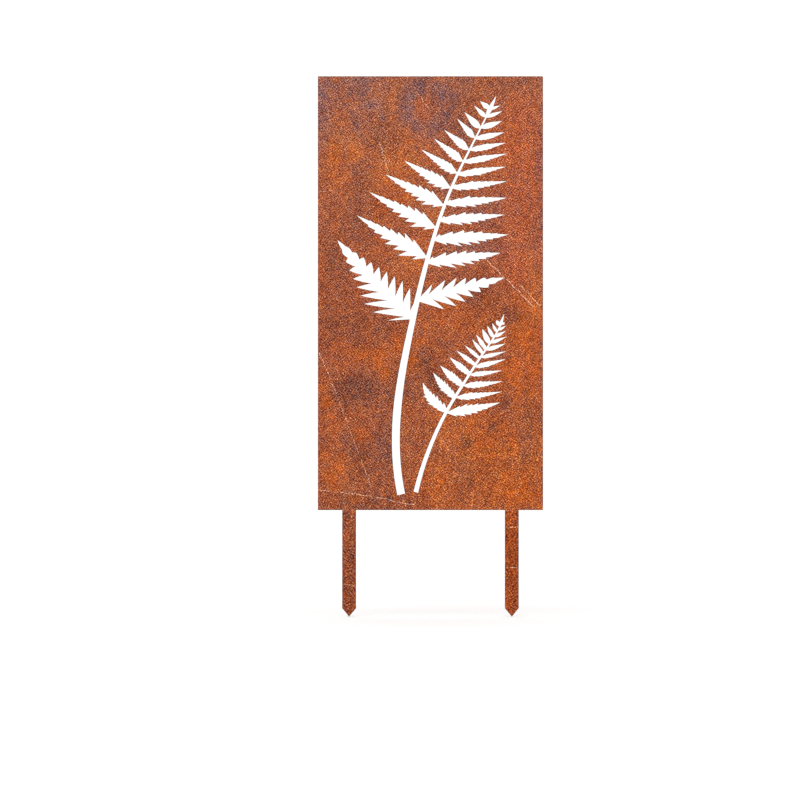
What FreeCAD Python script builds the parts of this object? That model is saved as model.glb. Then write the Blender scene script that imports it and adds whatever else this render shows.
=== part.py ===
# Garden screen: one rusted steel sheet pierced by a tall and a small fern frond, on two pointed stakes.
# Millimetres, +Z up, front face towards -Y. The origin is the middle of the panel's lower edge, halfway
# through the sheet: the line where the screen meets the soil.
import FreeCAD, Part
import math
import os
from collections import namedtuple

Vector = FreeCAD.Vector

# Sheet and stakes
PANEL_WIDTH = 150.0
PANEL_HEIGHT = 289.0
SHEET_THICKNESS = 1.5
STAKE_WIDTH = 9.2
STAKE_REACH = 71.0
STAKE_INSET = 20.8
POINT_LENGTH = 5.6

# Root welds
ROOT_GAP = 1.2
CROWN_WIDTH = 3.4
CROWN_HEIGHT = 0.6
RIPPLE_PITCH = 1.1

# Stems of the fronds
TALL_ROOT_WIDTH = 5.2
TALL_TIP_WIDTH = 0.8
SMALL_ROOT_WIDTH = 3.1
SMALL_TIP_WIDTH = 0.8

# How far a cutter runs past the faces it cuts
OVERRUN = 2.0

# Counts: teeth on each margin of a leaflet, lobes above and below the rib of a lobed one
TEETH = 9
TALL_LEFT_UPPER_LOBES = 11
TALL_LEFT_LOWER_LOBES = 10
TALL_RIGHT_UPPER_LOBES = 8
TALL_RIGHT_LOWER_LOBES = 8
STATIONS = 18
TALL_PLAIN_ROWS = 3
SMALL_LEFT_PLAIN_ROWS = 4
SMALL_RIGHT_PLAIN_ROWS = 5

# Shape of every leaflet: where a crest stands between two notches, how far crests differ, the spots
# across a lobe, and the spots a plain margin is drawn through
CREST_SHARE = 0.74
WANDER_SHARE = 0.08
LOBE_SHARES = (0, 0.2, 0.5, 0.8, 1)
LOBE_DEPTH_SHARES = (1, 0.5, 0, 0.5, 1)
PLAIN_SHARES = (0.06, 0.28, 0.55, 0.8)

# Stems: how much of one keeps its full width, how its taper falls, and where it ends inside its apex leaflet
TALL_SHANK_SHARE = 0.22
TALL_TAPER_POWER = 1.25
SMALL_SHANK_SHARE = 0.0
SMALL_TAPER_POWER = 1.0
STEM_END_SHARE = 0.97

# Stems, root to apex: shares of the panel's width from its middle, and of its height
TALL_STEM_SHARES = (
    (-0.130, 0.036), (-0.153, 0.135), (-0.144, 0.250), (-0.089, 0.414),
    (0.000, 0.603), (0.105, 0.757), (0.189, 0.846), (0.294, 0.958),
)
SMALL_STEM_SHARES = (
    (-0.065, 0.041), (-0.029, 0.107), (0.017, 0.169), (0.070, 0.226),
    (0.156, 0.299), (0.231, 0.359), (0.289, 0.404), (0.329, 0.455),
)

# Leaflets, apex to root: height of the seat on the stem, tip across, tip up, and breadth as a share of
# the height from the seat to the seat above it
TALL_APEX_SHARES = (0.906, 0.293, 0.956, 0.2)
TALL_LEFT_SHARES = (
    (0.925, 0.220, 0.943, 0.4), (0.906, 0.193, 0.933, 0.6), (0.880, 0.150, 0.918, 0.65),
    (0.857, 0.118, 0.903, 0.75), (0.830, 0.060, 0.877, 0.8), (0.803, 0.015, 0.857, 0.85),
    (0.776, -0.042, 0.832, 0.95), (0.742, -0.118, 0.806, 1.0), (0.702, -0.200, 0.774, 1.0),
    (0.650, -0.271, 0.733, 0.85), (0.581, -0.326, 0.679, 0.75), (0.440, -0.413, 0.622, 0.75),
)
TALL_RIGHT_SHARES = (
    (0.923, 0.310, 0.933, 0.2), (0.905, 0.320, 0.920, 0.5), (0.880, 0.318, 0.897, 0.55),
    (0.855, 0.330, 0.871, 0.6), (0.829, 0.336, 0.847, 0.6), (0.801, 0.342, 0.822, 0.6),
    (0.772, 0.337, 0.792, 0.65), (0.742, 0.341, 0.758, 0.7), (0.705, 0.341, 0.720, 0.7),
    (0.666, 0.330, 0.681, 0.75), (0.622, 0.346, 0.635, 0.85), (0.569, 0.312, 0.593, 0.75),
    (0.482, 0.330, 0.536, 0.75),
)
SMALL_APEX_SHARES = (0.420, 0.328, 0.453, 0.2)
SMALL_LEFT_SHARES = (
    (0.424, 0.293, 0.438, 0.3), (0.410, 0.274, 0.431, 0.5), (0.397, 0.252, 0.425, 0.7),
    (0.383, 0.230, 0.418, 0.9), (0.371, 0.203, 0.405, 0.9), (0.361, 0.185, 0.394, 1.0),
    (0.350, 0.152, 0.380, 0.9), (0.335, 0.115, 0.368, 0.8), (0.314, 0.085, 0.352, 0.8),
    (0.288, 0.043, 0.333, 0.8), (0.260, 0.012, 0.317, 0.8), (0.227, -0.034, 0.294, 0.85),
)
SMALL_RIGHT_SHARES = (
    (0.428, 0.331, 0.432, 0.2), (0.414, 0.336, 0.425, 0.4), (0.399, 0.335, 0.413, 0.5),
    (0.385, 0.339, 0.400, 0.55), (0.369, 0.335, 0.384, 0.6), (0.352, 0.336, 0.366, 0.6),
    (0.330, 0.334, 0.348, 0.6), (0.312, 0.319, 0.322, 0.7), (0.287, 0.321, 0.297, 0.65),
    (0.260, 0.318, 0.273, 0.65), (0.224, 0.310, 0.248, 0.75),
)

# How the leaflets on one side of a frond grow: bow of the lowest rib and how fast it dies out upwards, how
# teeth crowd to the tip, reach at the seat, where the reach is largest, and the part of the breadth below
# the rib; then, above and below the rib, how deep the lowest notches cut, how far teeth lean off the rib
# as a share of a right angle, and where along the rib the first one stands
Habit = namedtuple(
    "Habit",
    "bow_share bow_power crowd_power root_share swell_share lower_share upper_cut_share upper_lean_share "
    "upper_start_share lower_cut_share lower_lean_share lower_start_share",
)
TALL_LEFT_HABIT_SHARES = Habit(
    bow_share=-0.005, bow_power=1, crowd_power=1.1,
    root_share=0.7, swell_share=0.2, lower_share=0.55,
    upper_cut_share=0.45, upper_lean_share=0.45, upper_start_share=0.05,
    lower_cut_share=0.7, lower_lean_share=0.5, lower_start_share=-0.05,
)
TALL_RIGHT_HABIT_SHARES = Habit(
    bow_share=-0.005, bow_power=2, crowd_power=1.3,
    root_share=0.7, swell_share=0.35, lower_share=0.5,
    upper_cut_share=0.45, upper_lean_share=0.5, upper_start_share=-0.1,
    lower_cut_share=0.65, lower_lean_share=0.35, lower_start_share=-0.05,
)
TALL_LEFT_LOBED_SHARES = Habit(
    bow_share=-0.01, bow_power=1, crowd_power=1.0,
    root_share=0.75, swell_share=0.15, lower_share=0.55,
    upper_cut_share=0.8, upper_lean_share=0.6, upper_start_share=-0.05,
    lower_cut_share=0.8, lower_lean_share=0.5, lower_start_share=-0.08,
)
TALL_RIGHT_LOBED_SHARES = Habit(
    bow_share=0.005, bow_power=1, crowd_power=1.1,
    root_share=0.95, swell_share=0.25, lower_share=0.55,
    upper_cut_share=0.75, upper_lean_share=0.4, upper_start_share=-0.05,
    lower_cut_share=0.85, lower_lean_share=0.45, lower_start_share=0.0,
)
SMALL_LEFT_HABIT_SHARES = Habit(
    bow_share=-0.08, bow_power=12, crowd_power=1.0,
    root_share=0.75, swell_share=0.4, lower_share=0.55,
    upper_cut_share=0.45, upper_lean_share=0.55, upper_start_share=-0.1,
    lower_cut_share=0.35, lower_lean_share=0.55, lower_start_share=-0.15,
)
SMALL_RIGHT_HABIT_SHARES = Habit(
    bow_share=-0.015, bow_power=1, crowd_power=1.15,
    root_share=0.85, swell_share=0.3, lower_share=0.55,
    upper_cut_share=0.35, upper_lean_share=0.35, upper_start_share=0.05,
    lower_cut_share=0.35, lower_lean_share=0.4, lower_start_share=-0.05,
)

# Values that follow from the sizes
FRONT = -SHEET_THICKNESS / 2
BACK = SHEET_THICKNESS / 2
STAKE_OFFSET = PANEL_WIDTH / 2 - STAKE_INSET
TOWARDS_BACK = Vector(0, 1, 0)


def place(across_share, up_share):
    """A point in the plane y = 0, from a share of the panel's width off its middle and one of its height."""
    return Vector(across_share * PANEL_WIDTH, 0, up_share * PANEL_HEIGHT)


def solid_of(face, front, depth):
    """The face of the plane y = 0, carried to y = front and run back by depth."""
    moved = face.copy()
    moved.translate(TOWARDS_BACK * front)
    return moved.extrude(TOWARDS_BACK * depth)


def polygon_face(points):
    """The flat face inside a closed run of points."""
    return Part.Face(Part.makePolygon(points + points[:1]))


def smooth_edge(points):
    """A smooth edge through the points."""
    curve = Part.BSplineCurve()
    curve.interpolate(points)
    return curve.toShape()


def stem_curve(shares):
    """The smooth middle line of a stem through its points."""
    curve = Part.BSplineCurve()
    curve.interpolate([place(across, up) for across, up in shares])
    return curve


def stem_face(curve, root_width, tip_width, shank_share, taper_power):
    """The stem: full width along its shank, then a taper that ends inside the apex leaflet."""
    right, left = [], []
    for station in range(STATIONS + 1):
        share = STEM_END_SHARE * station / STATIONS
        spot = curve.FirstParameter + share * (curve.LastParameter - curve.FirstParameter)
        fall = min(1, (1 - share) / (1 - shank_share)) ** taper_power
        half = (tip_width + (root_width - tip_width) * fall) / 2
        across = TOWARDS_BACK.cross(curve.tangent(spot)[0]) * half
        right.append(curve.value(spot) + across)
        left.append(curve.value(spot) - across)
    apex = Part.LineSegment(right[-1], left[-1]).toShape()
    root = Part.LineSegment(left[0], right[0]).toShape()
    return Part.Face(Part.Wire([smooth_edge(right), apex, smooth_edge(left[::-1]), root]))


def seat_on(curve, up_share):
    """The point of a stem's middle line at a share of the panel's height."""
    level = Part.LineSegment(place(-0.5, up_share), place(0.5, up_share))
    meeting = curve.intersect(level)[0]
    return Vector(meeting.X, 0, meeting.Z)


class Leaflet:
    """A leaflet from its seat on a stem to its tip. Its rib may bow, and its margins stand off the rib
    along lines that lean towards the tip."""

    def __init__(self, seat, tip, breadth, habit, down_share):
        self.seat = seat
        self.tip = tip
        self.length = (tip - seat).Length
        self.along = (tip - seat) / self.length
        aside = TOWARDS_BACK.cross(self.along)
        self.above = aside if aside.z > 0 else aside * -1
        self.breadth = breadth
        self.habit = habit
        self.down_share = down_share
        self.bow = habit.bow_share * down_share ** habit.bow_power * self.length

    def rib(self, share):
        """The point of the rib at a share of its length."""
        bowed = 4 * share * (1 - share) * self.bow
        return self.seat + self.along * (share * self.length) + self.above * bowed

    def swelling(self, share):
        """Reach of the blade as a share of its largest: a quick rise, then a straight fall to the tip."""
        if share < self.habit.swell_share:
            climb = math.sin(math.pi / 2 * max(0, share) / self.habit.swell_share)
            return self.habit.root_share + (1 - self.habit.root_share) * climb
        return (1 - share) / (1 - self.habit.swell_share)

    def margin(self, side, share, reach_share):
        """A margin point above (side 1) or below (side -1) the rib, set off from the rib at share."""
        part = 1 - self.habit.lower_share if side > 0 else self.habit.lower_share
        lean_share = self.habit.upper_lean_share if side > 0 else self.habit.lower_lean_share
        lean = lean_share * math.pi / 2
        reach = self.breadth * part / math.sin(lean) * self.swelling(share) * reach_share
        way = self.along * math.cos(lean) + self.above * (side * math.sin(lean))
        return self.rib(share) + way * reach

    def spot(self, side, count_share):
        """Where along the rib a share of the teeth or lobes of one side has passed."""
        start = self.habit.upper_start_share if side > 0 else self.habit.lower_start_share
        return start + (1 - start) * (1 - (1 - count_share) ** self.habit.crowd_power)

    def plain_face(self):
        """A small leaflet with smooth margins."""
        edges = []
        for side in (1, -1):
            points = [self.margin(side, share, 1) for share in PLAIN_SHARES]
            edges.append(smooth_edge([self.seat] + points + [self.tip]))
        return Part.Face(Part.Wire(Part.sortEdges(edges)[0]))

    def cut(self, side, share):
        """How deep a notch cuts towards the rib, above or below it: less and less towards the tip."""
        deepest = self.habit.upper_cut_share if side > 0 else self.habit.lower_cut_share
        return deepest * self.down_share * (1 - share ** 3)

    def toothed_face(self, teeth):
        """A leaflet with saw teeth that lean to the tip and crowd together towards it."""
        margins = []
        for side in (1, -1):
            points = []
            for tooth in range(teeth):
                notch = self.spot(side, tooth / teeth)
                crest = self.spot(side, (tooth + CREST_SHARE) / teeth)
                wander = 1 + WANDER_SHARE * math.sin(teeth * (tooth + side + self.down_share))
                if tooth > 0:
                    points.append(self.margin(side, notch, 1 - self.cut(side, notch)))
                points.append(self.margin(side, crest, wander))
            margins.append(points)
        return polygon_face([self.seat] + margins[0] + [self.tip] + margins[1][::-1])

    def lobed_face(self, lobes):
        """A leaflet cut into round-sided lobes almost down to its rib."""
        edges = []
        for side, count in zip((1, -1), lobes):
            for lobe in range(count):
                roots = [self.spot(side, (lobe + part) / count) for part in LOBE_SHARES]
                cuts = [depth * self.cut(side, root) for depth, root in zip(LOBE_DEPTH_SHARES, roots)]
                spots = [self.margin(side, root, 1 - cut) for root, cut in zip(roots, cuts)]
                if lobe == 0:
                    edges.append(Part.LineSegment(self.seat, spots[2]).toShape())
                else:
                    edges.append(Part.Arc(spots[0], spots[1], spots[2]).toShape())
                edges.append(Part.Arc(spots[2], spots[3], spots[4]).toShape())
        return Part.Face(Part.Wire(Part.sortEdges(edges)[0]))


def frond_side(curve, rows, habit, plain_rows, lobed_habit=None, lobes=None):
    """The leaflets on one side of a stem, apex to root: plain, then toothed, and a lobed one at the last."""
    faces = []
    seat_above = curve.value(curve.LastParameter)
    last = len(rows) - 1
    for row, (seat_share, across_share, up_share, fill_share) in enumerate(rows):
        seat = seat_on(curve, seat_share)
        tip = place(across_share, up_share)
        breadth = fill_share * (seat_above.z - seat.z)
        if row == last and lobes:
            faces.append(Leaflet(seat, tip, breadth, lobed_habit, 1).lobed_face(lobes))
        elif row < plain_rows:
            faces.append(Leaflet(seat, tip, breadth, habit, row / last).plain_face())
        else:
            faces.append(Leaflet(seat, tip, breadth, habit, row / last).toothed_face(TEETH))
        seat_above = seat
    return faces


def apex_leaflet(curve, row, habit):
    """The plain leaflet that ends a frond."""
    seat_share, across_share, up_share, fill_share = row
    seat = seat_on(curve, seat_share)
    tip = place(across_share, up_share)
    return Leaflet(seat, tip, fill_share * (tip.z - seat.z), habit, 0).plain_face()


def tall_frond():
    """Every face of the tall frond."""
    curve = stem_curve(TALL_STEM_SHARES)
    stem = stem_face(curve, TALL_ROOT_WIDTH, TALL_TIP_WIDTH, TALL_SHANK_SHARE, TALL_TAPER_POWER)
    apex = apex_leaflet(curve, TALL_APEX_SHARES, TALL_RIGHT_HABIT_SHARES)
    left = frond_side(
        curve,
        TALL_LEFT_SHARES,
        TALL_LEFT_HABIT_SHARES,
        TALL_PLAIN_ROWS,
        TALL_LEFT_LOBED_SHARES,
        (TALL_LEFT_UPPER_LOBES, TALL_LEFT_LOWER_LOBES),
    )
    right = frond_side(
        curve,
        TALL_RIGHT_SHARES,
        TALL_RIGHT_HABIT_SHARES,
        TALL_PLAIN_ROWS,
        TALL_RIGHT_LOBED_SHARES,
        (TALL_RIGHT_UPPER_LOBES, TALL_RIGHT_LOWER_LOBES),
    )
    return [stem, apex] + left + right


def small_frond():
    """Every face of the small frond."""
    curve = stem_curve(SMALL_STEM_SHARES)
    stem = stem_face(curve, SMALL_ROOT_WIDTH, SMALL_TIP_WIDTH, SMALL_SHANK_SHARE, SMALL_TAPER_POWER)
    apex = apex_leaflet(curve, SMALL_APEX_SHARES, SMALL_RIGHT_HABIT_SHARES)
    left = frond_side(curve, SMALL_LEFT_SHARES, SMALL_LEFT_HABIT_SHARES, SMALL_LEFT_PLAIN_ROWS)
    right = frond_side(curve, SMALL_RIGHT_SHARES, SMALL_RIGHT_HABIT_SHARES, SMALL_RIGHT_PLAIN_ROWS)
    return [stem, apex] + left + right


def frond_cutter(faces):
    """One frond as a single cutter that runs past both faces of the sheet."""
    outline = faces[0].multiFuse(faces[1:]).removeSplitter()
    return solid_of(outline, FRONT - OVERRUN, SHEET_THICKNESS + 2 * OVERRUN)


def fern_panel():
    """The sheet with both fronds cut through it."""
    half = PANEL_WIDTH / 2
    corners = [
        Vector(-half, 0, 0),
        Vector(half, 0, 0),
        Vector(half, 0, PANEL_HEIGHT),
        Vector(-half, 0, PANEL_HEIGHT),
    ]
    sheet = solid_of(polygon_face(corners), FRONT, SHEET_THICKNESS)
    for faces in (tall_frond(), small_frond()):
        sheet = sheet.cut(frond_cutter(faces))
    return sheet.removeSplitter()


def stake(middle):
    """A flat bar below the panel, cut to a point at its foot, with its middle line at x = middle."""
    half = STAKE_WIDTH / 2
    shoulder = POINT_LENGTH - STAKE_REACH
    outline = [
        Vector(middle - half, 0, -ROOT_GAP),
        Vector(middle - half, 0, shoulder),
        Vector(middle, 0, -STAKE_REACH),
        Vector(middle + half, 0, shoulder),
        Vector(middle + half, 0, -ROOT_GAP),
    ]
    return solid_of(polygon_face(outline), FRONT, SHEET_THICKNESS)


def root_weld(middle):
    """Weld metal that fills a root gap through the sheet, with a crown of ripples on the back."""
    half = STAKE_WIDTH / 2
    seam = [
        Vector(middle - half, 0, -ROOT_GAP),
        Vector(middle + half, 0, -ROOT_GAP),
        Vector(middle + half, 0, 0),
        Vector(middle - half, 0, 0),
    ]
    fill = solid_of(polygon_face(seam), FRONT, SHEET_THICKNESS)
    radius = (CROWN_WIDTH ** 2 / 4 + CROWN_HEIGHT ** 2) / (2 * CROWN_HEIGHT)
    run = STAKE_WIDTH - CROWN_WIDTH
    ripples = max(1, round(run / RIPPLE_PITCH))
    balls = []
    for ripple in range(ripples + 1):
        along = middle - run / 2 + run * ripple / ripples
        centre = Vector(along, BACK + CROWN_HEIGHT - radius, -ROOT_GAP / 2)
        balls.append(Part.makeSphere(radius, centre))
    beads = balls[0].multiFuse(balls[1:])
    keep = Part.makeBox(
        STAKE_WIDTH + 2 * OVERRUN,
        CROWN_HEIGHT + OVERRUN,
        CROWN_WIDTH + 2 * OVERRUN,
        Vector(middle - half - OVERRUN, BACK, -ROOT_GAP / 2 - CROWN_WIDTH / 2 - OVERRUN),
    )
    return fill.fuse(beads.common(keep)).removeSplitter()


os.makedirs("parts", exist_ok=True)
fern_panel().exportStep("parts/fern_panel.step")
for side_name, middle_x in (("left", -STAKE_OFFSET), ("right", STAKE_OFFSET)):
    stake(middle_x).exportStep("parts/" + side_name + "_stake.step")
    root_weld(middle_x).exportStep("parts/" + side_name + "_root_weld.step")
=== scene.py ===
"""Rusted garden screen: a steel sheet with two fern fronds cut through it, on two welded stakes."""
from collections import namedtuple

import bpy
import numpy as np
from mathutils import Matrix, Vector
from mathutils.geometry import delaunay_2d_cdt


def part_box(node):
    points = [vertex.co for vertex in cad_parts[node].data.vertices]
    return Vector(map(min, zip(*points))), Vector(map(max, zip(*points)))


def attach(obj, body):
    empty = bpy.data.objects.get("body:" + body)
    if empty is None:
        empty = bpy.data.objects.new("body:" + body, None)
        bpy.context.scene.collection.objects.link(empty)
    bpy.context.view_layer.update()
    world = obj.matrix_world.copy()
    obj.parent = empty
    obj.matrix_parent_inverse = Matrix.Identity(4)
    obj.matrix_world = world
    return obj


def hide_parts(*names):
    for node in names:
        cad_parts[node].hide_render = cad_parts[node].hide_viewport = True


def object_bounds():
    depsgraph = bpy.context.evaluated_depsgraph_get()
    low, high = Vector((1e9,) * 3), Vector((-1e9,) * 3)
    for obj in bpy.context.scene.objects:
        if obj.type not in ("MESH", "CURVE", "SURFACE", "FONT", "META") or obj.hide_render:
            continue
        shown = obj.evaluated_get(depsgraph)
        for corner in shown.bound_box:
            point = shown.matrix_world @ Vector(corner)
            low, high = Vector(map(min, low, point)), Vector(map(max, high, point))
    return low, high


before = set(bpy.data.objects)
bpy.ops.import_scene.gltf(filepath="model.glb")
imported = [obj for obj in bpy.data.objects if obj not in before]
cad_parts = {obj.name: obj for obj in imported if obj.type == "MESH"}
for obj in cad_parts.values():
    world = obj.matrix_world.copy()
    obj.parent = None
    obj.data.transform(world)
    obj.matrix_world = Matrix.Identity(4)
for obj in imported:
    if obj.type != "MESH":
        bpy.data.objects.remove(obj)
cad_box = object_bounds()

# Sizes, in millimetres unless a name says otherwise
MM = 0.001
TINY = 1e-6
SAME_PLACE_DIGITS = 4
BATCH = 300
GRID_STEP = 1.75
GRID_JITTER = 0.3
GRID_SEED = 5
EDGE_STEP = 1.6
SHORTEST_SIDE = 0.02
CLEAR_OF_EDGE = 0.75
CLEAR_OF_SCRATCH = 0.8
INSIDE_ONLY = 1

# The rim along cut edges
RIM_WIDTH = 0.6
TIGHT_RIM = 0.05
ROUND_SHARE = 0.27
ROOM_SHARE = 0.24
LONGEST_MITRE = 1.6
BEND = 1 - np.sqrt(0.5)

# The rim's profile from the sheet to the cut: share of the rim's width, share of the rounding that
# it lies below the face, and whether the painted edge shade covers it. The back has the same the other
# way round.
RIM_PROFILE = (
    (1.0, 0.0, 0),
    (ROUND_SHARE, 0.0, 1),
    (ROUND_SHARE * BEND, BEND, 1),
    (0.0, 1.0, 1),
)
HALF_ROWS = len(RIM_PROFILE)
RIM_ROWS = 2 * HALF_ROWS

# Painted shade along the cut edges: a little on every edge, darkest where the metal lies up and to
# the left of its edge, as if lit from the upper left
EDGE_SHADE_WAY = np.array([-0.35, 0.35])
EDGE_SHADE_LEAST = 0.12

# Sides of a piece, as its faces carry them
FRONT_SIDE = 0
BACK_SIDE = 1
WALL_SIDE = 2
PLATE_SHARP_DEGREES = 55
WELD_SHARP_DEGREES = 50

# The flat map: room between its parts, width of a column of cut edge, places across a column
MAP_GAP = 2.0
MAP_COLUMN = 3.0
MAP_STEPS = np.array([0.0, 0.0, 0.2, 0.4, 1.6, 1.8, 2.0, 2.0])

# Relief of the rust scale
RELIEF_HEIGHT = 0.045
FRONT_SEED = 3
BACK_SEED = 8
WAVES = 36
WAVE_LENGTHS = (4.0, 34.0)
WAVE_GROWTH = 0.35

# Stains on the front: place x, z, half sizes across and up, strength
BLOOMS = (
    (-72, 275, 6, 22, 0.9), (-71, 252, 5, 13, 0.6), (-45, 283, 10, 8, 0.9), (-42, 270, 8, 7, 0.7),
    (-53, 262, 9, 11, 0.5), (-58, 284, 12, 6, 0.5), (-4, 268, 9, 12, 0.4), (28, 200, 14, 8, 0.6),
    (40, 206, 8, 10, 0.5), (30, 175, 14, 5, 0.8), (14, 172, 6, 4, 0.5), (20, 250, 6, 9, 0.5),
    (-28, 46, 5, 14, 0.4), (73, 225, 2.5, 45, 0.5), (-28, 266, 9, 14, 0.25), (20, 284, 9, 6, 0.3),
    (-45.6, 280.5, 4, 5, 0.7), (-53.7, 278, 4, 4, 0.6), (-38, 268, 4, 4, 0.7),
    (-34.4, 263, 4, 4, 0.6), (-49.7, 257, 5, 4, 0.6), (-17.6, 276.5, 4, 6, 0.8),
    (-14.5, 264.6, 4, 4, 0.7), (-9, 256.4, 7, 3, 0.7), (-6.3, 285.5, 8, 4, 0.7),
    (-71, 246, 4, 6, 0.6), (53, 130, 4, 5, 0.5), (18, 27, 4, 5, 0.3), (63, 45, 4, 8, 0.6),
    (45, 103, 3, 3, 0.5),
)
GLOOMS = (
    (-50, 80, 14, 8, 1.0), (-25, 78, 8, 7, 0.8), (-8, 97, 10, 6, 0.7), (2, 88, 6, 8, 0.9),
    (-28, 46, 5, 14, 0.5), (-46, 36, 8, 12, 0.6), (-45, 25, 6, 5, 0.5), (-60, 125, 14, 12, 0.5),
    (-30, 122, 7, 7, 0.6), (-45, 112, 10, 6, 0.5), (-67, 168, 8, 14, 0.4), (35, 140, 10, 10, 0.45),
    (50, 130, 6, 8, 0.4), (54, 285, 12, 5, 0.4), (-73, 45, 4, 12, 0.5), (-42, 4, 22, 6, 0.6),
    (27, 22, 5, 6, 0.4), (-54, -34, 9, 40, 0.5), (54, -40, 9, 34, 0.45), (18, 262, 7, 9, 0.4),
    (-46, 196, 9, 16, 0.25), (68, 62, 6, 6, 0.35), (-38, 78.6, 6, 5, 0.7), (-56.5, 73, 4, 4, 0.7),
    (-44.3, 32, 4, 4, 0.7), (-32, 46, 4, 6, 0.6), (-3, 97.6, 4, 5, 0.6), (0, 86, 3, 4, 0.7),
    (-30, 244, 6, 8, 0.5), (-46, 219, 4, 6, 0.5), (50.1, 71, 3, 3, 0.8), (57, 128, 4, 6, 0.6),
    (62.3, 33.9, 3, 3, 0.7), (27.4, 18.7, 3, 3, 0.7), (40.9, 56.3, 3, 3, 0.7), (23, 45, 3, 3, 0.6),
)
FLARES = (
    (62, 120, 8, 10, 1.0), (54, 92, 7, 9, 1.0), (67, 100, 6, 22, 0.6), (60, 136, 10, 6, 0.6),
    (30, 55, 14, 8, 0.5), (62, 75, 10, 8, 0.5), (55, 14, 18, 14, 0.8), (43, 45, 10, 12, 0.7),
    (8, 16, 13, 11, 0.5), (-61, 24, 8, 9, 0.7), (2, 107, 5, 5, 0.4), (-20, 108, 6, 6, 0.4),
    (-34, 100, 8, 6, 0.5), (20, 130, 12, 8, 0.4), (-62, 56, 8, 6, 0.4), (54, -35, 9, 40, 0.6),
    (-22, 214, 10, 14, 0.3), (-29.8, 91.5, 3, 4, 1.2), (-58.7, 33.7, 2.2, 5, 1.3),
    (-59.5, 26, 2.6, 3.5, 1.2), (-66.7, 24, 3.5, 4, 1.0), (-69.5, 36, 3, 3.5, 1.0),
    (-71.7, 81, 2.6, 4, 1.0), (-68.6, 71.7, 3.5, 3, 1.1), (-33.7, 101.4, 3.5, 5, 1.0),
    (-46, 103.7, 5, 4, 0.8), (-12.8, 99, 2.6, 5, 1.2), (-21.5, 110.5, 2.6, 6, 1.1),
    (-7.8, 111, 4, 3, 0.9), (-49.6, 6, 4, 3, 0.9), (-45.8, 49.7, 4, 4, 0.7), (-64.8, 62, 4, 3, 0.7),
    (-24.7, 270, 4, 6, 0.7), (-36.9, 280.5, 3, 3, 0.6), (-20.6, 281, 3, 4, 0.6), (-56, 259, 3, 4, 0.6),
    (-64, 237, 4, 5, 0.7), (-49.7, 238, 3, 4, 0.7), (-15.5, 252, 3, 5, 0.8), (-8, 272, 2.5, 3, 0.7),
    (20, 165, 4, 4, 0.8), (6, 139, 4, 4, 0.7), (56, 42, 4, 8, 1.0), (66, 8, 3, 6, 0.9),
)
TANS = (
    (-12, 165, 8, 8, 1.0), (2, 193, 4, 6, 0.9), (-15, 232, 7, 6, 0.7), (-62, 245, 5, 12, 0.5),
    (-66, 228, 6, 10, 0.5), (-50, 242, 5, 7, 0.6), (-30, 230, 6, 14, 0.4), (-40, 215, 6, 7, 0.3),
    (70, 151, 6, 6, 0.8), (72, 135, 3, 7, 0.8), (25, 35, 6, 6, 0.6), (72, 42, 5, 7, 0.6),
    (36, 226, 8, 8, 0.6), (12, 50, 10, 8, 0.4), (-6, 208, 8, 8, 0.5),
)
BLUSHES = (
    (62, 232, 14, 40, 0.8), (60, 190, 10, 20, 0.7), (56, 165, 8, 14, 0.9), (70, 175, 6, 12, 0.6),
    (-5, 267, 4, 6, 0.7),
)
AMBERS = ((45, 28, 40, 46, 1.0), (70, 110, 14, 40, 0.2), (0, 40, 30, 40, 0.3))
ASHES = (
    (-40, 285, 60, 36, 0.9), (40, 285, 40, 36, 0.8), (-70, 230, 20, 50, 0.4), (-53, -30, 8, 50, 0.8),
)
FLECKS = ((40, 32, 30, 26, 1.0), (8, 30, 26, 26, 0.8), (-30, 235, 8, 14, 0.5))

# Kinds of stain, in the order in which the back's places are drawn
STAINS = {
    "bloom": BLOOMS,
    "gloom": GLOOMS,
    "flare": FLARES,
    "tan": TANS,
    "blush": BLUSHES,
    "amber": AMBERS,
    "ash": ASHES,
    "fleck": FLECKS,
}
STAIN_SPREAD_SEED = 41
STAIN_SPREAD_X = (-72, 72)
STAIN_SPREAD_Z = (-60, 285)

# A ring of bloom: place x, z, radius, half width, strength
BLOOM_RING = (-3, 268, 14.0, 5.5, 0.85)

# How far weld heat reaches on the back, and room round a root gap
HEAT_REACH = 5.0
ROOT_MARGIN = 0.3

# Scratches: how plain each one is, and a line of x, z places on the front
SCRATCHES = (
    (1.35, ((37.4, 166.6), (49.7, 154.7), (61.9, 142.5), (68.3, 135.4))),
    (1.1, ((60.0, 149.5), (67.0, 142.5), (72.4, 136.4))),
    (1.0, ((-74.3, 105.2), (-67.5, 89.6), (-59.5, 68.7), (-48.9, 40.5), (-39.4, 15.5))),
    (
        1.1,
        (
            (-74.4, 13.2), (-62.6, 12.0), (-51.1, 10.7), (-38.2, 9.0), (-29.1, 7.3), (-21.5, 5.2),
            (-11.0, 3.6),
        ),
    ),
    (1.0, ((-33.6, 244.0), (-28.0, 225.0))),
    (0.9, ((-7.9, 276.8), (-0.7, 266.6))),
    (1.0, ((69.4, 75.9), (72.9, 72.3))),
    (1.0, ((-74.4, 212.4), (-66.2, 212.8))),
    (1.2, ((49.8, -11.2), (58.6, -11.6))),
    (1.2, ((49.8, -38.3), (58.6, -38.7))),
    (1.0, ((-58.6, -49.7), (-49.8, -50.3))),
)
SCRATCH_STEP = 0.5
SCRATCH_HALF_WIDTH = 0.5
SCRATCH_DEPTH = 0.03
SCRATCH_SWAY = 0.22
SCRATCH_SWAY_RATE_X = 0.9
SCRATCH_SWAY_RATE_Z = 0.63
SCRATCH_SEED = 100
SCRATCH_FAINTEST = 0.2

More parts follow.
